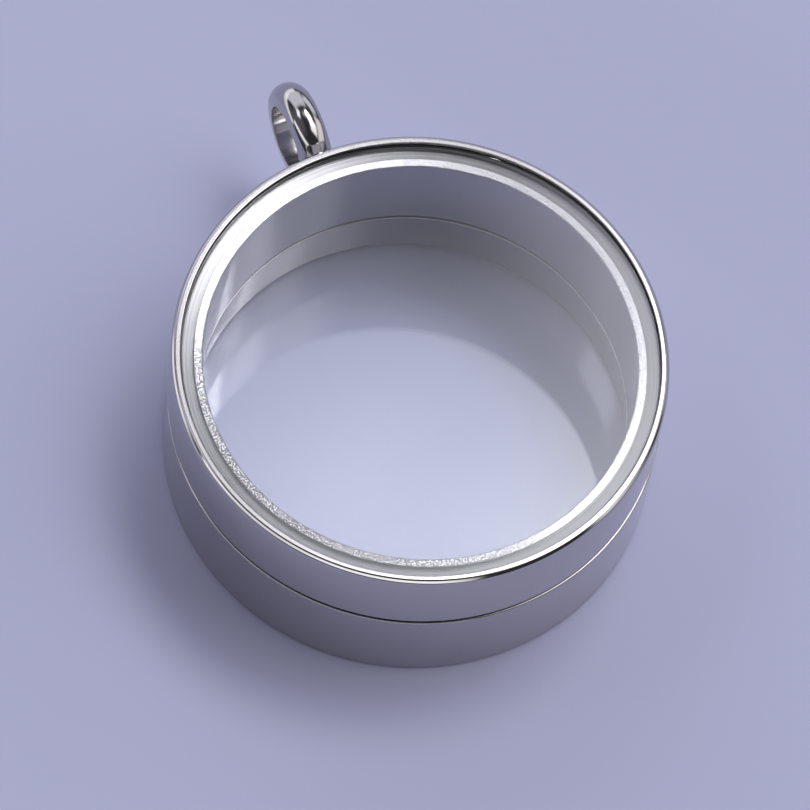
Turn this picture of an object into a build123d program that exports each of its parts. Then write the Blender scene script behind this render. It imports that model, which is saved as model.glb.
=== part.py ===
from build123d import *
import math
import os

# Floating locket: a round case in two screwed halves, with a clear window
# in each face and a ring bail soldered to the upper half.
# Lengths are millimetres. The origin is on the case axis, on the surface
# that the locket lies on. +Z is up and the bail points along +Y.

# Case
case_radius = 15.0
case_height = 12.4
wall_thickness = 1.72
rim_width = 0.56
rim_round = 0.27
rim_inner_break = 0.05

# Seam and screw collar
seam_height = 6.7
seam_gap = 0.05
seam_edge_round = 0.09
collar_length = 1.5
collar_wall = 0.45
collar_edge_break = 0.08

# Screw thread, single start and right-handed
thread_pitch = 0.6
thread_depth = 0.26
thread_root_width = 0.28
thread_crest_width = 0.1
thread_radial_clearance = 0.1
thread_end_margin = 0.1
thread_weld = 0.05

# Windows
glass_thickness = 0.45
glass_recess = 0.25
glass_edge_clearance = 0.04
glass_film = 0.02
glass_bevel = 0.06
seat_lip_width = 0.5
seat_groove_depth = 0.08

# Bail, a thick band ring with a flat inside, flat sides and a low dome outside
bail_hole_radius = 2.2
bail_thickness = 1.25
bail_dome_rise = 0.5
bail_width = 2.0
bail_edge_round = 0.1
bail_height = 8.6
bail_solder_depth = 0.35

# Worked out from the sizes above
cavity_radius = case_radius - wall_thickness
seat_radius = case_radius - rim_width
glass_radius = seat_radius - glass_edge_clearance
lip_radius = cavity_radius + seat_lip_width
lip_depth = glass_recess + glass_thickness + glass_film
groove_depth = lip_depth + seat_groove_depth
collar_radius = cavity_radius + collar_wall
collar_bottom = seam_height - collar_length
thread_bore_radius = collar_radius + thread_depth + thread_radial_clearance
bail_outer_radius = bail_hole_radius + bail_thickness
bail_shoulder_radius = bail_outer_radius - bail_dome_rise
bail_reach = case_radius + bail_outer_radius - bail_solder_depth


def corner(profile, radius, height):
    """Pick the corner of a turned profile at one radius and height."""
    found = []
    for vertex in profile.vertices():
        if math.hypot(vertex.X - radius, vertex.Y - height) < 1e-6:
            found.append(vertex)
    return found


def thread_ridge(wall_radius, outward):
    """Sweep a thread ridge along a wall, outward or inward, tapering to its crest."""
    root = wall_radius - outward * thread_weld
    crest = wall_radius + outward * thread_depth
    start = collar_bottom + thread_end_margin + thread_root_width / 2
    rise = collar_length - 2 * thread_end_margin - thread_root_width
    with BuildPart() as ridge:
        with BuildLine():
            Helix(pitch=thread_pitch, height=rise, radius=wall_radius, center=(0, 0, start))
        with BuildSketch(Plane.XZ):
            with BuildLine():
                Polyline(
                    (root, start - thread_root_width / 2),
                    (crest, start - thread_crest_width / 2),
                    (crest, start + thread_crest_width / 2),
                    (root, start + thread_root_width / 2),
                    close=True,
                )
            make_face()
        sweep(is_frenet=True)
    return ridge.part


# The two ridges start on opposite sides, which sets them half a pitch apart
male_ridge = thread_ridge(collar_radius, 1)
female_ridge = thread_ridge(thread_bore_radius, -1).rotate(Axis.Z, 180)

# Lower case: rim, window seat, cavity wall and threaded bore, turned in one piece
with BuildPart() as lower_case:
    with BuildSketch(Plane.XZ) as lower_profile:
        with BuildLine():
            Polyline(
                (seat_radius, 0),
                (case_radius, 0),
                (case_radius, seam_height),
                (thread_bore_radius, seam_height),
                (thread_bore_radius, collar_bottom - seam_gap),
                (cavity_radius, collar_bottom - seam_gap),
                (cavity_radius, lip_depth),
                (lip_radius, lip_depth),
                (lip_radius, groove_depth),
                (seat_radius, groove_depth),
                close=True,
            )
        make_face()
        fillet(corner(lower_profile, case_radius, 0), radius=rim_round)
        fillet(corner(lower_profile, seat_radius, 0), radius=rim_inner_break)
        fillet(corner(lower_profile, case_radius, seam_height), radius=seam_edge_round)
        chamfer(corner(lower_profile, cavity_radius, collar_bottom - seam_gap), length=collar_edge_break)
    revolve(axis=Axis.Z)
    add(female_ridge)

# Upper case: the same rim and seat upside down, the screw collar and the bail
with BuildPart() as upper_case:
    with BuildSketch(Plane.XZ) as upper_profile:
        with BuildLine():
            Polyline(
                (seat_radius, case_height),
                (case_radius, case_height),
                (case_radius, seam_height + seam_gap),
                (collar_radius, seam_height + seam_gap),
                (collar_radius, collar_bottom),
                (cavity_radius, collar_bottom),
                (cavity_radius, case_height - lip_depth),
                (lip_radius, case_height - lip_depth),
                (lip_radius, case_height - groove_depth),
                (seat_radius, case_height - groove_depth),
                close=True,
            )
        make_face()
        fillet(corner(upper_profile, case_radius, case_height), radius=rim_round)
        fillet(corner(upper_profile, seat_radius, case_height), radius=rim_inner_break)
        fillet(corner(upper_profile, case_radius, seam_height + seam_gap), radius=seam_edge_round)
        chamfer(corner(upper_profile, collar_radius, collar_bottom), length=collar_edge_break)
    revolve(axis=Axis.Z)
    add(male_ridge)
    with BuildSketch(Plane((0, bail_reach, bail_height), x_dir=(1, 0, 0), z_dir=(0, -1, 0))) as section:
        with BuildLine():
            Polyline(
                (-bail_width / 2, bail_shoulder_radius),
                (-bail_width / 2, bail_hole_radius),
                (bail_width / 2, bail_hole_radius),
                (bail_width / 2, bail_shoulder_radius),
            )
            ThreePointArc(
                (bail_width / 2, bail_shoulder_radius),
                (0, bail_outer_radius),
                (-bail_width / 2, bail_shoulder_radius),
            )
        make_face()
        fillet(section.vertices(), radius=bail_edge_round)
    revolve(axis=Axis((0, bail_reach, bail_height), (1, 0, 0)))

# Windows: the lower glass faces down, the upper one is level with it turned over
with BuildPart() as lower_glass:
    with BuildSketch(Plane.XY.offset(glass_recess)):
        Circle(glass_radius)
    extrude(amount=glass_thickness)
    chamfer(lower_glass.edges(), length=glass_bevel)

with BuildPart() as upper_glass:
    with BuildSketch(Plane.XY.offset(case_height - glass_recess - glass_thickness)):
        Circle(glass_radius)
    extrude(amount=glass_thickness)
    chamfer(upper_glass.edges(), length=glass_bevel)

lower_case.part.label = "lower_case"
upper_case.part.label = "upper_case"
lower_glass.part.label = "lower_glass"
upper_glass.part.label = "upper_glass"

os.makedirs("parts", exist_ok=True)
export_step(lower_case.part, "parts/lower_case.step")
export_step(upper_case.part, "parts/upper_case.step")
export_step(lower_glass.part, "parts/lower_glass.step")
export_step(upper_glass.part, "parts/upper_glass.step")
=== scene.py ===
import math

import bpy
import numpy as np
from mathutils import Matrix, Vector


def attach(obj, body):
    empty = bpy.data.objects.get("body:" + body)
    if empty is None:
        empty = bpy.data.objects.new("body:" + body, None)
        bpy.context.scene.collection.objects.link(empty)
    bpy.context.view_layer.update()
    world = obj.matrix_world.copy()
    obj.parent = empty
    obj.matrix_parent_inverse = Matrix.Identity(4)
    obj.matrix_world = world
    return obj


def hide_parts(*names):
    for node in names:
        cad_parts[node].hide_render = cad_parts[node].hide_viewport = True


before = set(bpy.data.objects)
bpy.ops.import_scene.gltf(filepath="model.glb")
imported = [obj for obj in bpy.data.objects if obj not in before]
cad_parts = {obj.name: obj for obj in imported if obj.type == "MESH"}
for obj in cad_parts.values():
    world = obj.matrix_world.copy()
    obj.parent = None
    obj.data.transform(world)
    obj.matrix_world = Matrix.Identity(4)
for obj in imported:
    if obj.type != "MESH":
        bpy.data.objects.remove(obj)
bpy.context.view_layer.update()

# One millimetre in metres
MM = 0.001

# Sizes in millimetres, as in the CAD source
CASE_RADIUS = 15.0
CASE_HEIGHT = 12.4
SEAT_RADIUS = 14.44
RIM_ROUND = 0.27
RIM_INNER_BREAK = 0.05
SEAM_HEIGHT = 6.7
COLLAR_RADIUS = 13.73
COLLAR_BOTTOM = 5.2
COLLAR_EDGE_BREAK = 0.08
BORE_RADIUS = 14.09
THREAD_PITCH = 0.6
THREAD_DEPTH = 0.26
THREAD_ROOT = 0.28
THREAD_CREST = 0.1
THREAD_MARGIN = 0.1
THREAD_RISE = 1.02
THREAD_WELD = 0.05
LOWER_LIP_RADIUS = 13.78
LIP_DEPTH = 0.72
GLASS_RADIUS = 14.4
GLASS_RECESS = 0.25
GLASS_THICKNESS = 0.45
GLASS_BEVEL = 0.06
BAIL_HOLE = 2.2
BAIL_OUTER = 3.45
BAIL_DOME = 0.5
BAIL_CORNER = 0.1
BAIL_REACH = 18.1
BAIL_HEIGHT = 8.6

# Sizes in millimetres read off the photograph, a little off the CAD source's or missing there
COLLAR_INSIDE = 13.08
WALL_TOP = 13.06
WALL_FOOT = 13.4
WALL_EDGE_BREAK = 0.06
COLLAR_FOOT_BREAK = 0.04
LIP_RADIUS = 13.6
GROOVE_DEPTH = 1.0
GROOVE_RISE = 0.14
GROOVE_ROUND = 0.2
SEAT_FALL = 0.04
OUTER_GAP = 0.2
INNER_GAP = 0.25
LOWER_SEAM_ROUND = 0.1
UPPER_SEAM_ROUND = 0.08
RIM_CUT = 0.22
RIM_CUT_TOP = 0.16
RIM_CUT_SIDE = 0.3
SCREW_PLAY = 0.035
BAIL_HALF_WIDTH = 1.04
BAIL_LEAN = 0.1
BAIL_INNER_ROUND = 0.08
SOLDER_FILLET = 0.16
# The round of a corner that is left sharp
SHARP = 0.02
# The upper half's outer wall, out from this radius, is pushed this way by the screw's play
PLAY_FROM = SEAT_RADIUS + 0.1
PLAY_AZIMUTH = 155

# Worked out from the sizes above
BAIL_SHOULDER = BAIL_HALF_WIDTH - BAIL_LEAN
BAIL_ARC = (BAIL_SHOULDER ** 2 + BAIL_DOME ** 2) / (2 * BAIL_DOME)
BAIL_ARC_CENTRE = BAIL_OUTER - BAIL_ARC
UPPER_WALL = CASE_RADIUS - SCREW_PLAY
UPPER_SEAM = SEAM_HEIGHT + OUTER_GAP
LOWER_SHELF = COLLAR_BOTTOM - INNER_GAP

# Mesh fineness
SIDES = 384
ARC_STEPS = 8
BAIL_SIDES = 240
DOME_POINTS = 60
JOINT_POINTS = 160
JOINT_SEARCH = 2000
FILLET_POINTS = 9

# The photograph's view: the bail points to 121.7 degrees there and to +Y here
SPIN = math.radians(-31.7)


def direction(azimuth, elevation):
    """A unit vector, from angles in degrees in the photograph's view: azimuth 90 is away from the camera."""
    a = math.radians(azimuth) + SPIN
    e = math.radians(elevation)
    return Vector((math.cos(a) * math.cos(e), math.sin(a) * math.cos(e), math.sin(e)))


# Meshes

def grid_mesh(name, points, normals, loop_u, loop_v, zones=None):
    """A mesh from a grid of points P(u, v). Each cell is one quad, and loop_u and loop_v join the last row
    or column to the first. The normals are given, so that a mirror finish shows the true curve. zones
    gives each column of cells its material number."""
    nu, nv = points.shape[:2]
    u = np.arange(nu if loop_u else nu - 1)[:, None]
    v = np.arange(nv if loop_v else nv - 1)[None, :]
    u2, v2 = (u + 1) % nu, (v + 1) % nv
    quads = np.stack([u * nv + v, u2 * nv + v, u2 * nv + v2, u * nv + v2], axis=-1)
    if zones is not None:
        zones = np.broadcast_to(zones, quads.shape[:2]).ravel()
    return finished(name, points.reshape(-1, 3), normals.reshape(-1, 3), quads.reshape(-1, 4).tolist(), zones)


def finished(name, points, normals, faces, zones=None):
    """An object at the origin from arrays in millimetres, smooth shaded, with the normals if given."""
    mesh = bpy.data.meshes.new(name)
    mesh.from_pydata((points * MM).tolist(), [], faces)
    mesh.polygons.foreach_set("use_smooth", np.ones(len(faces), bool))
    if zones is not None:
        mesh.polygons.foreach_set("material_index", zones.astype(np.int32))
    mesh.update()
    if normals is not None:
        mesh.normals_split_custom_set_from_vertices(normals.tolist())
    piece = bpy.data.objects.new(name, mesh)
    bpy.context.scene.collection.objects.link(piece)
    return piece


def rounded(corners):
    """A closed profile with its corners rounded. corners has one row (r, z, radius, ...) each, with the
    solid on the left. Each corner becomes an arc that starts radius * tan(half its turn) before it, and
    its points turn evenly from the normal of the side before to that of the side after."""
    c = np.array(corners, float)
    p, rad = c[:, :2], c[:, 2]
    before = p - np.roll(p, 1, 0)
    after = np.roll(p, -1, 0) - p
    before /= np.linalg.norm(before, axis=1)[:, None]
    after /= np.linalg.norm(after, axis=1)[:, None]
    turn = np.arctan2(before[:, 0] * after[:, 1] - before[:, 1] * after[:, 0], (before * after).sum(1))
    t = rad * np.abs(np.tan(turn / 2))
    n0 = np.stack([before[:, 1], -before[:, 0]], 1)
    start = p - before * t[:, None]
    centre = start - n0 * (rad * np.sign(turn))[:, None]
    a = np.arctan2(n0[:, 1], n0[:, 0])[:, None] + turn[:, None] * np.linspace(0, 1, ARC_STEPS + 1)[None, :]
    n = np.stack([np.cos(a), np.sin(a)], -1)
    pts = centre[:, None] + n * (rad * np.sign(turn))[:, None, None]
    return pts.reshape(-1, 2), n.reshape(-1, 2)


def turned(name, corners, play=0.0):
    """A ring turned on the case axis: the rounded profile (r, z) swept to (r cos a, r sin a, z). Each row
    of corners ends with the material numbers of its round and of the side after it. The outer wall is
    moved sideways by play, as on a screwed half that doesn't quite line up."""
    prof, norm = rounded(corners)
    a = np.linspace(0, 2 * np.pi, SIDES, endpoint=False)[:, None]
    ring = np.stack([np.cos(a) * prof[:, 0], np.sin(a) * prof[:, 0], np.ones_like(a) * prof[:, 1]], -1)
    out = np.stack([np.cos(a) * norm[:, 0], np.sin(a) * norm[:, 0], np.ones_like(a) * norm[:, 1]], -1)
    ring += play * np.array(direction(PLAY_AZIMUTH, 0)) * (prof[:, :1] > PLAY_FROM)
    cells = np.concatenate([[row[3]] * ARC_STEPS + [row[4]] for row in corners])
    return grid_mesh(name, ring, out, True, True, cells)


def pane(name, low, high):
    """A window: four rings of points (r cos a, r sin a, z) over the bevelled edge, joined to one point in
    the middle of each face."""
    r = GLASS_RADIUS - np.array([GLASS_BEVEL, 0, 0, GLASS_BEVEL])
    z = np.array([low, low + GLASS_BEVEL, high - GLASS_BEVEL, high])
    a = np.linspace(0, 2 * np.pi, SIDES, endpoint=False)[:, None]
    ring = np.stack([np.cos(a) * r, np.sin(a) * r, np.ones_like(a) * z], -1)
    points = np.concatenate([ring.reshape(-1, 3), [[0, 0, low], [0, 0, high]]])
    i = np.arange(SIDES)
    j = (i + 1) % SIDES
    faces = []
    for k in range(3):
        faces += np.stack([i * 4 + k, j * 4 + k, j * 4 + k + 1, i * 4 + k + 1], 1).tolist()
    faces += np.stack([np.full(SIDES, SIDES * 4), j * 4, i * 4], 1).tolist()
    faces += np.stack([np.full(SIDES, SIDES * 4 + 1), i * 4 + 3, j * 4 + 3], 1).tolist()
    piece = finished(name, points, None, faces)
    piece.data.set_sharp_from_angle(angle=math.radians(20))
    return piece


def thread(name, wall_radius, outward, start_angle):
    """A screw ridge: a trapezoid (r, z) carried along a helix that climbs one pitch a turn, closed at both
    ends. outward is 1 on a collar and -1 in a bore."""
    root = wall_radius - outward * THREAD_WELD
    crest = wall_radius + outward * THREAD_DEPTH
    start = COLLAR_BOTTOM + THREAD_MARGIN + THREAD_ROOT / 2
    r = np.array([root, crest, crest, root])
    z = np.array([-THREAD_ROOT, -THREAD_CREST, THREAD_CREST, THREAD_ROOT]) / 2
    turns = THREAD_RISE / THREAD_PITCH
    steps = int(SIDES / 2 * turns)
    t = np.linspace(0, 1, steps)[:, None]
    a = math.radians(start_angle) + 2 * np.pi * turns * t
    points = np.stack([np.cos(a) * r, np.sin(a) * r, start + THREAD_RISE * t + z], -1)
    k = np.arange(steps - 1)[:, None]
    q = np.arange(4)[None, :]
    q2 = (q + 1) % 4
    quads = np.stack([k * 4 + q, (k + 1) * 4 + q, (k + 1) * 4 + q2, k * 4 + q2], -1).reshape(-1, 4)
    faces = quads.tolist() + [[0, 1, 2, 3], [steps * 4 - 1 - n for n in range(4)]]
    if outward < 0:
        faces = [f[::-1] for f in faces]
    piece = finished(name, points.reshape(-1, 3), None, faces)
    piece.data.set_sharp_from_angle(angle=math.radians(30))
    return piece


def bail_section():
    """The bail's section, closed, from arcs: a round at the flat inside, another where the leaning side
    meets the dome, the dome's low arc, and the same two mirrored. Rows (x, radius) and their normals."""
    def arc(x, y, radius, start, stop, steps):
        """Points (x + radius cos a, y + radius sin a) from angle start to stop, and their normals."""
        a = np.radians(np.linspace(start, stop, steps))
        n = np.stack([np.cos(a), np.sin(a)], 1)
        return np.array([x, y]) + radius * n, n

    foot = np.array([BAIL_HALF_WIDTH, BAIL_HOLE])
    side = np.array([-BAIL_LEAN, BAIL_OUTER - BAIL_DOME - BAIL_HOLE])
    side /= np.linalg.norm(side)
    face = np.array([side[1], -side[0]])
    inner = foot - BAIL_INNER_ROUND * face
    inner += side * (BAIL_HOLE + BAIL_INNER_ROUND - inner[1]) / side[1]
    start = foot - BAIL_CORNER * face - [0, BAIL_ARC_CENTRE]
    along = start @ side
    run = -along + math.sqrt(along ** 2 - start @ start + (BAIL_ARC - BAIL_CORNER) ** 2)
    outer = start + run * side
    lean = math.degrees(math.atan2(face[1], face[0]))
    tilt = math.degrees(math.atan2(outer[1], outer[0]))
    parts = [arc(*inner, BAIL_INNER_ROUND, -90, lean, 2 * ARC_STEPS + 1),
             arc(outer[0], BAIL_ARC_CENTRE + outer[1], BAIL_CORNER, lean, tilt, ARC_STEPS + 1),
             arc(0, BAIL_ARC_CENTRE, BAIL_ARC, tilt, 180 - tilt, DOME_POINTS)]
    parts[2] = tuple(v[1:-1] for v in parts[2])
    parts += [tuple(v[::-1] * np.array([-1, 1]) for v in part) for part in parts[1::-1]]
    return tuple(np.concatenate(rows) for rows in zip(*parts))


def bail(name):
    """The bail ring: its section (x, R) swept to (x, reach + R cos a, height + R sin a)."""
    pts, nrm = bail_section()
    a = -np.linspace(0, 2 * np.pi, BAIL_SIDES, endpoint=False)[:, None]
    ring = np.stack([np.ones_like(a) * pts[:, 0], BAIL_REACH + np.cos(a) * pts[:, 1],
                     BAIL_HEIGHT + np.sin(a) * pts[:, 1]], -1)
    out = np.stack([np.ones_like(a) * nrm[:, 0], np.cos(a) * nrm[:, 1], np.sin(a) * nrm[:, 1]], -1)
    return grid_mesh(name, ring, out, True, True)


def joint_loop(wall, grow, t):
    """Where the bail's dome, grown outward a little, cuts the cylinder of radius wall. At x the dome's
    radius is R = centre + sqrt((arc + grow)^2 - x^2), and it is cut where cos a is
    (sqrt(wall^2 - x^2) - reach) / R. x runs as sin t between the two places where cos a = -1."""
    def dome(x):
        """The grown dome's radius at x."""
        return BAIL_ARC_CENTRE + np.sqrt((BAIL_ARC + grow) ** 2 - x ** 2)

    x = np.linspace(0, BAIL_ARC, JOINT_SEARCH)
    far = np.interp(0, BAIL_REACH - dome(x) - np.sqrt(wall ** 2 - x ** 2), x)
    x = far * np.sin(t)
    y = np.sqrt(wall ** 2 - x ** 2)
    lean = np.sqrt(np.maximum(dome(x) ** 2 - (y - BAIL_REACH) ** 2, 0))
    return np.stack([x, y, BAIL_HEIGHT + np.where(np.cos(t) > 0, 1, -1) * lean], 1)


def solder(name):
    """The solder fillet: quadratic curves P = (1-s)^2 A + 2 s (1-s) B + s^2 C from the bail, A, over the
    joint, B, to the wall, C, which leave the one surface and meet the other smoothly."""
    t = -np.linspace(0, 2 * np.pi, JOINT_POINTS, endpoint=False)
    on_bail = joint_loop(CASE_RADIUS + SOLDER_FILLET, 0, t)
    joint = joint_loop(CASE_RADIUS, 0, t)
    on_wall = joint_loop(CASE_RADIUS, SOLDER_FILLET, t)
    s = np.linspace(0, 1, FILLET_POINTS)[None, :, None]
    points = (1 - s) ** 2 * on_bail[:, None] + 2 * s * (1 - s) * joint[:, None] + s ** 2 * on_wall[:, None]
    along = np.roll(points, -1, 0) - np.roll(points, 1, 0)
    across = np.gradient(points, axis=1)
    out = np.cross(along, across)
    return grid_mesh(name, points, out / np.linalg.norm(out, axis=-1)[..., None], True, False)


# Materials

def material(name):
    """A material with one Principled shader. Returns the material, its nodes, its links and the shader."""
    mat = bpy.data.materials.new(name)
    mat.use_nodes = True
    nodes, links = mat.node_tree.nodes, mat.node_tree.links
    return mat, nodes, links, nodes["Principled BSDF"]


def add(nodes, kind, operation=None, **values):
    """A shader node, with its operation and any plain input values, given as input_NUMBER=value."""
    node = nodes.new(kind)
    if operation:
        node.operation = operation
    for key, value in values.items():
        node.inputs[int(key.split("_")[1])].default_value = value
    return node


def add_after(nodes, links, source, kind, operation=None, **values):
    """A shader node whose first input is linked to a source."""
    node = add(nodes, kind, operation, **values)
    links.new(source, node.inputs[0])
    return node


def effect(name, inputs, outputs):
    """An empty shader node group with named float inputs after its Position, and named float outputs.
    Returns the group, its nodes, its links, and its input and output nodes."""
    group = bpy.data.node_groups.new(name, "ShaderNodeTree")
    group.interface.new_socket("Position", in_out="INPUT", socket_type="NodeSocketVector")
    for key, value in inputs.items():
        socket = group.interface.new_socket(key, in_out="INPUT", socket_type="NodeSocketFloat")
        socket.default_value = value
    for key in outputs:
        group.interface.new_socket(key, in_out="OUTPUT", socket_type="NodeSocketFloat")
    given = group.nodes.new("NodeGroupInput")
    out = group.nodes.new("NodeGroupOutput")
    return group, group.nodes, group.links, given, out


def turning_lines():
    """Fine rings left by a lathe: one-dimensional noise of the distance from the case axis in millimetres,
    which wanders a little round the ring."""
    group, nodes, links, given, out = effect("turning_lines", {"Lines": 14.0, "Wander": 0.02}, ["Height"])
    flat = add(nodes, "ShaderNodeVectorMath", "MULTIPLY", input_1=(1000, 1000, 0))
    radius = add(nodes, "ShaderNodeVectorMath", "LENGTH")
    drift = add(nodes, "ShaderNodeTexNoise", input_2=400.0, input_3=1.0)
    shift = add(nodes, "ShaderNodeMath", "MULTIPLY_ADD")
    scaled = add(nodes, "ShaderNodeMath", "MULTIPLY")
    rings = nodes.new("ShaderNodeTexNoise")
    rings.noise_dimensions = "1D"
    rings.inputs["Scale"].default_value = 1.0
    rings.inputs["Detail"].default_value = 2.0
    links.new(given.outputs["Position"], flat.inputs[0])
    links.new(flat.outputs[0], radius.inputs[0])
    links.new(given.outputs["Position"], drift.inputs["Vector"])
    links.new(drift.outputs["Fac"], shift.inputs[0])
    links.new(given.outputs["Wander"], shift.inputs[1])
    links.new(radius.outputs["Value"], shift.inputs[2])
    links.new(shift.outputs[0], scaled.inputs[0])
    links.new(given.outputs["Lines"], scaled.inputs[1])
    links.new(scaled.outputs[0], rings.inputs["W"])
    links.new(rings.outputs["Fac"], out.inputs["Height"])
    return group


def grain():
    """Fine frosting: three-dimensional noise at a number of grains a millimetre, put out as a height, and
    as a mask that goes from 0 at the height Pits to 1 at the height Tops."""
    inputs = {"Grains": 9.0, "Pits": 0.6, "Tops": 0.8}
    group, nodes, links, given, out = effect("grain", inputs, ["Height", "Mask"])
    scale = add(nodes, "ShaderNodeMath", "MULTIPLY", input_1=1000.0)
    noise = nodes.new("ShaderNodeTexNoise")
    noise.inputs["Detail"].default_value = 2.0
    mask = nodes.new("ShaderNodeMapRange")
    links.new(given.outputs["Tops"], mask.inputs["From Max"])
    links.new(given.outputs["Grains"], scale.inputs[0])
    links.new(scale.outputs[0], noise.inputs["Scale"])
    links.new(given.outputs["Position"], noise.inputs["Vector"])
    links.new(noise.outputs["Fac"], out.inputs["Height"])
    links.new(noise.outputs["Fac"], mask.inputs["Value"])
    links.new(given.outputs["Pits"], mask.inputs["From Min"])
    links.new(mask.outputs[0], out.inputs["Mask"])
    return group


def rub_marks():
    """Faint handling marks: two noises drawn out in crossing directions, kept where either runs high."""
    group, nodes, links, given, out = effect("rub_marks", {"Size": 900.0}, ["Mask"])
    strokes = []
    for turn_z, stretch in ((0.6, (0.12, 1, 0.5)), (2.1, (0.1, 1, 0.6))):
        place = add(nodes, "ShaderNodeMapping")
        place.inputs["Rotation"].default_value = (0.3, 0.2, turn_z)
        place.inputs["Scale"].default_value = stretch
        noise = nodes.new("ShaderNodeTexNoise")
        noise.inputs["Detail"].default_value = 4.0
        noise.inputs["Roughness"].default_value = 0.6
        links.new(given.outputs["Position"], place.inputs["Vector"])
        links.new(place.outputs[0], noise.inputs["Vector"])
        links.new(given.outputs["Size"], noise.inputs["Scale"])
        strokes.append(noise.outputs["Fac"])
    either = add(nodes, "ShaderNodeMath", "MAXIMUM")
    keep = nodes.new("ShaderNodeMapRange")
    keep.inputs["From Min"].default_value = 0.55
    keep.inputs["From Max"].default_value = 0.78
    links.new(strokes[0], either.inputs[0])
    links.new(strokes[1], either.inputs[1])
    links.new(either.outputs[0], keep.inputs["Value"])
    links.new(keep.outputs[0], out.inputs["Mask"])
    return group


def seat_edge():
    """The ragged dark line on the window seat, where its glue ends: a mask that is 1 within a width of a
    radius, both in millimetres, with edges that noise makes uneven."""
    inputs = {"Radius": 13.12, "Width": 0.035, "Rag": 0.14}
    group, nodes, links, given, out = effect("seat_edge", inputs, ["Mask"])
    flat = add(nodes, "ShaderNodeVectorMath", "MULTIPLY", input_1=(1000, 1000, 0))
    radius = add(nodes, "ShaderNodeVectorMath", "LENGTH")
    noise = nodes.new("ShaderNodeTexNoise")
    noise.inputs["Scale"].default_value = 3500.0
    noise.inputs["Detail"].default_value = 3.0
    off = add(nodes, "ShaderNodeMath", "SUBTRACT")
    far = add(nodes, "ShaderNodeMath", "ABSOLUTE")
    rough = add(nodes, "ShaderNodeMath", "SUBTRACT", input_1=0.5)
    reach = add(nodes, "ShaderNodeMath", "MULTIPLY_ADD")
    past = add(nodes, "ShaderNodeMath", "SUBTRACT")
    mask = nodes.new("ShaderNodeMapRange")
    mask.inputs["From Min"].default_value = 0.02
    mask.inputs["From Max"].default_value = -0.02
    links.new(given.outputs["Position"], flat.inputs[0])
    links.new(flat.outputs[0], radius.inputs[0])
    links.new(given.outputs["Position"], noise.inputs["Vector"])
    links.new(radius.outputs["Value"], off.inputs[0])
    links.new(given.outputs["Radius"], off.inputs[1])
    links.new(off.outputs[0], far.inputs[0])
    links.new(noise.outputs["Fac"], rough.inputs[0])
    links.new(rough.outputs[0], reach.inputs[0])
    links.new(given.outputs["Rag"], reach.inputs[1])
    links.new(far.outputs[0], reach.inputs[2])
    links.new(reach.outputs[0], past.inputs[0])
    links.new(given.outputs["Width"], past.inputs[1])
    links.new(past.outputs[0], mask.inputs["Value"])
    links.new(mask.outputs[0], out.inputs["Mask"])
    return group


EFFECTS = {
    "turning_lines": turning_lines(),
    "grain": grain(),
    "rub_marks": rub_marks(),
    "seat_edge": seat_edge(),
}


def use(nodes, links, coord, name, **values):
    """Places an effect in a material, on its Object coordinates, with its own values."""
    node = nodes.new("ShaderNodeGroup")
    node.node_tree = EFFECTS[name]
    links.new(coord.outputs["Object"], node.inputs["Position"])
    for key, value in values.items():
        node.inputs[key].default_value = value
    return node


def ramp(nodes, links, source, low, high):
    """A value between low and high, as a mask goes from 0 to 1."""
    node = nodes.new("ShaderNodeMapRange")
    node.inputs["To Min"].default_value = low
    node.inputs["To Max"].default_value = high
    links.new(source, node.inputs["Value"])
    return node.outputs[0]


def tone(nodes, links, source, low, high):
    """A colour between two, as a mask goes from 0 to 1."""
    node = nodes.new("ShaderNodeMix")
    node.data_type = "RGBA"
    node.inputs["A"].default_value = (*low, 1)
    node.inputs["B"].default_value = (*high, 1)
    links.new(source, node.inputs["Factor"])
    return node.outputs["Result"]


def bumped(nodes, links, shader, heights):
    """Chains Bump nodes into the shader's Normal. heights has (socket, distance in metres) rows."""
    last = None
    for height, distance in heights:
        bump = nodes.new("ShaderNodeBump")
        bump.inputs["Distance"].default_value = distance
        links.new(height, bump.inputs["Height"])
        if last:
            links.new(last, bump.inputs["Normal"])
        last = bump.outputs["Normal"]
    links.new(last, shader.inputs["Normal"])


# The steel's colour, and the colours of its wear as shares of it; the frost's colours also paint shade
STEEL = (0.53, 0.515, 0.52)
RUBBED = 0.96
RING_LOW, RING_HIGH = 0.75, 1.25
FROST_LOW, FROST_HIGH = 0.2, 1.4
GLUE_LINE = (0.04, 0.04, 0.045)
# The noise heights between which the rings and the frost go from their low colour to their high one
RING_PITS, RING_TOPS = 0.35, 0.65
FROST_PITS, FROST_TOPS = 0.44, 0.58
# How far up that range a smooth seat is, and how much rougher the tops of the grain make the steel
FROST_PLAIN = 0.75
GRAIN_ROUGHNESS = 0.15
# Where the seats get frosting and painted shade: round this side of the case, from where the cosine
# of the angle to it starts to where it is full. PER_SEAT_RADIUS is one over the seats' radius in metres
FROST_AND_SHADE_AZIMUTH = -112
FROST_AND_SHADE_STARTS, FROST_AND_SHADE_FULL = 0.3, 0.6
PER_SEAT_RADIUS = 75


def shaded(colour, share):
    """A colour times a share."""
    return [c * share for c in colour]


def mirror_steel(name, shade, rough, marks):
    """Polished stainless steel, which handling marks roughen a little, by marks. shade scales its
    colour, below 1 as painted shade."""
    mat, nodes, links, shader = material(name)
    coord = nodes.new("ShaderNodeTexCoord")
    rub = use(nodes, links, coord, "rub_marks")
    colour = shaded(STEEL, shade)
    rubbed = tone(nodes, links, rub.outputs["Mask"], colour, shaded(colour, RUBBED))
    shader.inputs["Metallic"].default_value = 1
    links.new(rubbed, shader.inputs["Base Color"])
    links.new(ramp(nodes, links, rub.outputs["Mask"], rough, rough + marks), shader.inputs["Roughness"])
    return mat


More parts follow.
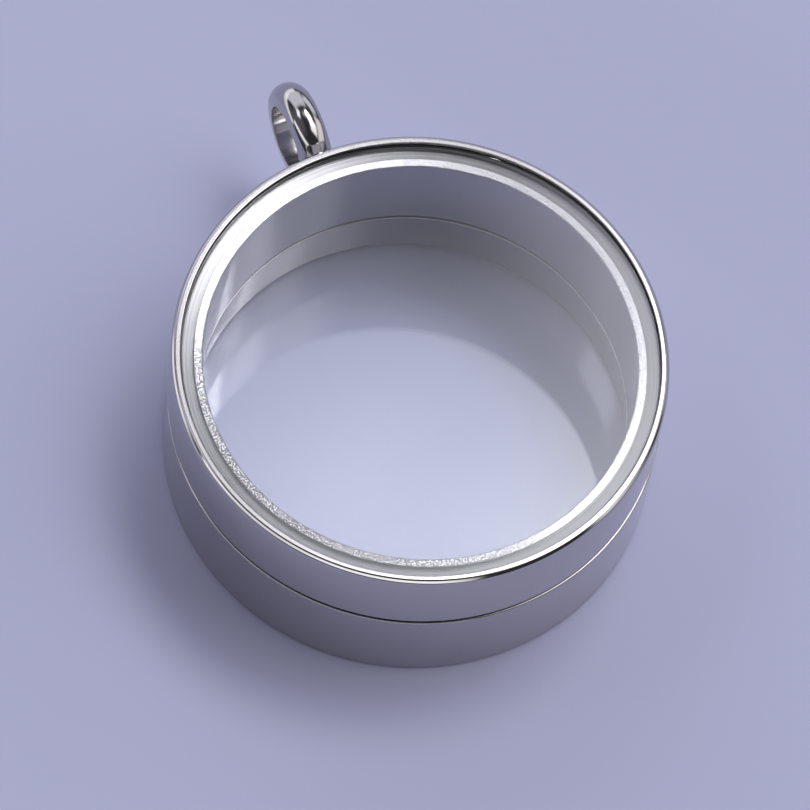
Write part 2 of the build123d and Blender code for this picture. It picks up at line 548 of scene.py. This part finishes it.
def frost_and_shade_seat(nodes, links, coord, colour):
    """The colour of a window's seat: frosting, darkened as painted shade, on one side of the case, smooth
    round the rest, with a ragged dark line where the glue ends. Returns the socket."""
    edge = use(nodes, links, coord, "seat_edge")
    fine = use(nodes, links, coord, "grain", Pits=FROST_PITS, Tops=FROST_TOPS)
    way = direction(FROST_AND_SHADE_AZIMUTH, 0) * PER_SEAT_RADIUS
    lean = add(nodes, "ShaderNodeVectorMath", "DOT_PRODUCT", input_1=way)
    links.new(coord.outputs["Object"], lean.inputs[0])
    shade_patch = add_after(nodes, links, lean.outputs["Value"], "ShaderNodeMapRange",
                      input_1=FROST_AND_SHADE_STARTS, input_2=FROST_AND_SHADE_FULL)
    uneven = add_after(nodes, links, shade_patch.outputs[0], "ShaderNodeMapRange", input_3=FROST_PLAIN)
    links.new(fine.outputs["Mask"], uneven.inputs["To Max"])
    # Painted shade: on that side the grain's colours average darker than the smooth seat's
    grain_and_shade = tone(nodes, links, uneven.outputs[0], shaded(colour, FROST_LOW), shaded(colour, FROST_HIGH))
    glued = nodes.new("ShaderNodeMix")
    glued.data_type = "RGBA"
    glued.inputs["B"].default_value = (*GLUE_LINE, 1)
    links.new(edge.outputs["Mask"], glued.inputs["Factor"])
    links.new(grain_and_shade, glued.inputs["A"])
    return glued.outputs["Result"]


def turned_steel(name, shade, rough, spread, lines, grit, seat=False):
    """Steel as the lathe left it: rings and frosting spread its highlight across the rings. shade scales
    the steel's colour, below 1 as painted shade, and spread is how much longer the highlight is across
    the rings. lines and grit are (number a millimetre, height in metres) of the rings and the grains."""
    mat, nodes, links, shader = material(name)
    coord = nodes.new("ShaderNodeTexCoord")
    rings = use(nodes, links, coord, "turning_lines", Lines=lines[0])
    frost = use(nodes, links, coord, "grain", Grains=grit[0])
    colour = shaded(STEEL, shade)
    shader.inputs["Metallic"].default_value = 1
    shader.inputs["Anisotropic"].default_value = spread
    shader.inputs["Anisotropic Rotation"].default_value = 0.25
    # A seat gets frosting, with painted shade on one side, in place of the rings' colours
    if seat:
        skin = frost_and_shade_seat(nodes, links, coord, colour)
    else:
        worn = add_after(nodes, links, rings.outputs["Height"], "ShaderNodeMapRange",
                         input_1=RING_PITS, input_2=RING_TOPS)
        skin = tone(nodes, links, worn.outputs[0], shaded(colour, RING_LOW), shaded(colour, RING_HIGH))
    links.new(skin, shader.inputs["Base Color"])
    dulled = ramp(nodes, links, frost.outputs["Mask"], rough, rough + GRAIN_ROUGHNESS)
    links.new(dulled, shader.inputs["Roughness"])
    bumped(nodes, links, shader, [(rings.outputs["Height"], lines[1]), (frost.outputs["Height"], grit[1])])
    tangent = nodes.new("ShaderNodeTangent")
    tangent.direction_type = "RADIAL"
    tangent.axis = "Z"
    links.new(tangent.outputs[0], shader.inputs["Tangent"])
    return mat


polished = mirror_steel("polished_steel_mirror", shade=1.0, rough=0.08, marks=0.05)
# The bail is a darker copy of the polished steel: painted shade that dims its reflections
bail_steel = mirror_steel("bail_steel", shade=0.9, rough=0.13, marks=0.05)
# The screw is a darker copy too: painted shade between the two halves
screw_steel = mirror_steel("screw_steel", shade=0.9, rough=0.2, marks=0.1)
rim_steel = turned_steel("turned_rim_steel", shade=1.0, rough=0.15, spread=0.7,
                         lines=(14.0, 1e-6), grit=(9.0, 5e-7))
# The groove is a darker copy of the turned steel: painted shade in its recess under the rim
groove_steel = turned_steel("turned_groove_steel", shade=0.43, rough=0.28, spread=0.65,
                            lines=(9.0, 2.5e-6), grit=(9.0, 1e-6))
# The seat is a darker copy too: painted shade on the ledge below the rim
seat_steel = turned_steel("turned_seat_steel", shade=0.8, rough=0.26, spread=0.82,
                          lines=(10.0, 1.5e-6), grit=(9.0, 1.3e-6), seat=True)


def window_glass():
    """Clear glass, which shadow and diffuse rays pass unbent, so that the chamber and the floor are lit."""
    mat, nodes, links, shader = material("window_glass_clear")
    shader.inputs["Base Color"].default_value = (0.97, 0.98, 1.0, 1)
    shader.inputs["Roughness"].default_value = 0
    shader.inputs["IOR"].default_value = 1.5
    shader.inputs["Transmission Weight"].default_value = 1
    clear = nodes.new("ShaderNodeBsdfTransparent")
    clear.inputs["Color"].default_value = (0.96, 0.97, 0.98, 1)
    path = nodes.new("ShaderNodeLightPath")
    either = nodes.new("ShaderNodeMath")
    either.operation = "MAXIMUM"
    mix = nodes.new("ShaderNodeMixShader")
    links.new(path.outputs["Is Shadow Ray"], either.inputs[0])
    links.new(path.outputs["Is Diffuse Ray"], either.inputs[1])
    links.new(either.outputs[0], mix.inputs["Fac"])
    links.new(shader.outputs[0], mix.inputs[1])
    links.new(clear.outputs[0], mix.inputs[2])
    links.new(mix.outputs[0], nodes["Material Output"].inputs["Surface"])
    return mat


glass = window_glass()

# Pieces

# Material numbers, in the order in which the shells get their materials
MIRROR, RIM, SEAT, SCREW, GROOVE = range(5)
# Each row is a corner: radius, height, round, and the materials of the round and of the side after it
lower_shell = turned("lower_shell", [
    (SEAT_RADIUS, 0, RIM_INNER_BREAK, MIRROR, RIM),
    (CASE_RADIUS, 0, RIM_ROUND, MIRROR, MIRROR),
    (CASE_RADIUS, SEAM_HEIGHT, LOWER_SEAM_ROUND, MIRROR, MIRROR),
    (BORE_RADIUS, SEAM_HEIGHT, SHARP, SCREW, SCREW),
    (BORE_RADIUS, LOWER_SHELF, SHARP, SCREW, SCREW),
    (WALL_TOP, LOWER_SHELF, WALL_EDGE_BREAK, MIRROR, MIRROR),
    (WALL_FOOT, LIP_DEPTH + SEAT_FALL, WALL_EDGE_BREAK, MIRROR, SEAT),
    (LOWER_LIP_RADIUS, LIP_DEPTH, SHARP, SEAT, GROOVE),
    (LOWER_LIP_RADIUS, GROOVE_DEPTH, SHARP, GROOVE, GROOVE),
    (SEAT_RADIUS, GROOVE_DEPTH - GROOVE_RISE, GROOVE_ROUND, GROOVE, MIRROR),
])
upper_shell = turned("upper_shell", [
    (UPPER_WALL, UPPER_SEAM, UPPER_SEAM_ROUND, MIRROR, MIRROR),
    (UPPER_WALL, CASE_HEIGHT - RIM_CUT, RIM_CUT_SIDE, MIRROR, MIRROR),
    (UPPER_WALL - RIM_CUT, CASE_HEIGHT, RIM_CUT_TOP, MIRROR, RIM),
    (SEAT_RADIUS, CASE_HEIGHT, RIM_INNER_BREAK, MIRROR, MIRROR),
    (SEAT_RADIUS, CASE_HEIGHT - GROOVE_DEPTH + GROOVE_RISE, GROOVE_ROUND, GROOVE, GROOVE),
    (LIP_RADIUS, CASE_HEIGHT - GROOVE_DEPTH, SHARP, GROOVE, GROOVE),
    (LIP_RADIUS, CASE_HEIGHT - LIP_DEPTH, SHARP, SEAT, SEAT),
    (COLLAR_INSIDE, CASE_HEIGHT - LIP_DEPTH - SEAT_FALL, WALL_EDGE_BREAK, MIRROR, MIRROR),
    (COLLAR_INSIDE, COLLAR_BOTTOM, COLLAR_FOOT_BREAK, MIRROR, SCREW),
    (COLLAR_RADIUS, COLLAR_BOTTOM, COLLAR_EDGE_BREAK, SCREW, SCREW),
    (COLLAR_RADIUS, UPPER_SEAM, SHARP, SCREW, SCREW),
], play=SCREW_PLAY)
lower_thread = thread("lower_thread", BORE_RADIUS, -1, 180)
upper_thread = thread("upper_thread", COLLAR_RADIUS, 1, 0)
bail_ring = bail("bail_ring")
bail_solder = solder("bail_solder")
UPPER_FACE = CASE_HEIGHT - GLASS_RECESS
lower_window = pane("lower_window", GLASS_RECESS, GLASS_RECESS + GLASS_THICKNESS)
upper_window = pane("upper_window", UPPER_FACE - GLASS_THICKNESS, UPPER_FACE)

for piece in (lower_shell, upper_shell):
    for mat in (polished, rim_steel, seat_steel, screw_steel, groove_steel):
        piece.data.materials.append(mat)
for piece in (bail_ring, bail_solder):
    piece.data.materials.append(bail_steel)
for piece in (lower_thread, upper_thread):
    piece.data.materials.append(screw_steel)
for piece in (lower_window, upper_window):
    piece.data.materials.append(glass)

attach(lower_shell, "base")
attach(lower_thread, "base")
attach(lower_window, "base")
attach(upper_window, "lid_window")
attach(upper_shell, "lid")
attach(upper_thread, "lid")
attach(bail_ring, "lid")
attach(bail_solder, "lid")
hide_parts("lower_case")
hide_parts("lower_case")
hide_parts("lower_glass")
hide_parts("upper_glass")
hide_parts("upper_case")
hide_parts("upper_case")
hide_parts("upper_case")
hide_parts("upper_case")

# Floor

floor_mat, _, _, floor_shader = material("pale_floor")
floor_shader.inputs["Base Color"].default_value = (0.51, 0.52, 0.73, 1)
floor_shader.inputs["Roughness"].default_value = 0.9
floor_shader.inputs["Specular IOR Level"].default_value = 0.1
# Half its side and its level in metres, a hair under the case so that the two don't share a plane
FLOOR_HALF = 2.0
FLOOR_LEVEL = -1e-5
floor_mesh = bpy.data.meshes.new("floor")
quarters = ((-1, -1), (1, -1), (1, 1), (-1, 1))
floor_corners = [(FLOOR_HALF * x, FLOOR_HALF * y, FLOOR_LEVEL) for x, y in quarters]
floor_mesh.from_pydata(floor_corners, [], [(0, 1, 2, 3)])
floor = bpy.data.objects.new("floor", floor_mesh)
bpy.context.scene.collection.objects.link(floor)
floor.data.materials.append(floor_mat)

# Light: soft-edged boxes on the world's sphere, which the polished steel mirrors. Sizes in degrees
ROOM = (0.04, 0.04, 0.045)
SOFTBOXES = [
    # name, azimuth, elevation, half width, half height, edge, colour
    ("key", 62, 67, 8.6, 7, 3, (8.2, 8.3, 8.3)),
    ("key right", 30, 66, 10, 10, 4, (2.8, 2.7, 2.9)),
    ("key far right", 0, 60, 14, 14, 5, (1.8, 1.8, 1.8)),
    ("key spill", 84, 67, 4.5, 4, 2, (2.3, 2.3, 2.5)),
    ("key low spill", 80, 61.3, 3.5, 1.9, 1.4, (3.1, 3.0, 3.5)),
    ("top", 90, 76, 14, 5, 4, (0.6, 0.6, 0.6)),
    ("back", 120, 32, 28, 21, 5, (0.95, 0.95, 1.04)),
    ("back right", 66, 22, 18, 12, 6, (1.0, 1.05, 1.15)),
    ("right", 12, 24, 26, 16, 5, (1.2, 1.17, 1.15)),
    ("small left", 170, 55, 9, 6, 3, (2.0, 2.0, 2.2)),
    ("front", -112, 27, 50, 5, 2, (1.6, 1.6, 1.6)),
    ("low left", 150, 6, 45, 6, 2, (1.3, 1.3, 1.4)),
    ("left fill", -160, 40, 26, 28, 10, (0.1, 0.1, 0.11)),
]


def softbox(nodes, links, coord, azimuth, elevation, half_width, half_height, edge):
    """The mask of a box: how far a direction leans along the box's level and upright axes, held against the
    sines of its half width and half height, on the box's own side of the sphere."""
    centre = direction(azimuth, elevation)
    level = direction(azimuth + 90, 0)
    mask = add(nodes, "ShaderNodeVectorMath", "DOT_PRODUCT", input_1=centre)
    links.new(coord.outputs["Generated"], mask.inputs[0])
    mask = add_after(nodes, links, mask.outputs["Value"], "ShaderNodeMath", "GREATER_THAN", input_1=0.0)
    for axis, half in ((level, half_width), (centre.cross(level), half_height)):
        lean = add(nodes, "ShaderNodeVectorMath", "DOT_PRODUCT", input_1=axis)
        links.new(coord.outputs["Generated"], lean.inputs[0])
        away = add_after(nodes, links, lean.outputs["Value"], "ShaderNodeMath", "ABSOLUTE")
        side = add_after(nodes, links, away.outputs[0], "ShaderNodeMapRange")
        side.interpolation_type = "SMOOTHSTEP"
        side.inputs["From Min"].default_value = math.sin(math.radians(half + edge))
        side.inputs["From Max"].default_value = math.sin(math.radians(half - edge))
        mask = add_after(nodes, links, mask.outputs[0], "ShaderNodeMath", "MULTIPLY")
        links.new(side.outputs[0], mask.inputs[1])
    return mask.outputs[0]


def world_light():
    """The studio: every softbox's mask times its colour, over the room's dim light."""
    world = bpy.data.worlds.new("studio")
    bpy.context.scene.world = world
    world.use_nodes = True
    nodes, links = world.node_tree.nodes, world.node_tree.links
    coord = nodes.new("ShaderNodeTexCoord")
    total = add(nodes, "ShaderNodeVectorMath", "ADD", input_0=ROOM)
    for _, *place, colour in SOFTBOXES:
        lit = add(nodes, "ShaderNodeVectorMath", "SCALE", input_0=colour)
        links.new(softbox(nodes, links, coord, *place), lit.inputs["Scale"])
        links.new(lit.outputs[0], total.inputs[1])
        total = add_after(nodes, links, total.outputs[0], "ShaderNodeVectorMath", "ADD")
    links.new(total.outputs[0], nodes["Background"].inputs["Color"])


world_light()

# Camera, at the photograph's angle: focal length and shift in pixels, distance and aim in metres
PICTURE_PIXELS = 810
SENSOR_WIDTH = 36
LENS_PIXELS = 6579.31
DISTANCE = 0.4
AIM_HEIGHT = 0.005
ELEVATION = math.radians(63.85)
ROLL = math.radians(9.48)
SHIFT_X, SHIFT_Y = 7.46, 4.55
turn = Matrix.Rotation(SPIN, 3, "Z")
ahead = Vector((0, math.cos(ELEVATION), -math.sin(ELEVATION)))
level = Vector((1, 0, 0))
above = level.cross(ahead)
right = math.cos(ROLL) * level + math.sin(ROLL) * above
up = -math.sin(ROLL) * level + math.cos(ROLL) * above
place = Vector((0, 0, AIM_HEIGHT)) - DISTANCE * ahead
place += (DISTANCE / LENS_PIXELS) * (SHIFT_Y * up - SHIFT_X * right)
camera = bpy.data.objects.new("camera", bpy.data.cameras.new("camera"))
bpy.context.scene.collection.objects.link(camera)
camera.data.sensor_width = SENSOR_WIDTH
camera.data.lens = LENS_PIXELS / PICTURE_PIXELS * SENSOR_WIDTH
camera.data.clip_start = 0.01
camera.matrix_world = Matrix.Translation(turn @ place) @ Matrix(
    [turn @ right, turn @ up, turn @ -ahead]).transposed().to_4x4()
bpy.context.scene.camera = camera

scene = bpy.context.scene
scene.view_settings.view_transform = "Standard"
scene.cycles.max_bounces = 24
scene.cycles.glossy_bounces = 16
scene.cycles.transmission_bounces = 16
scene.cycles.transparent_max_bounces = 24
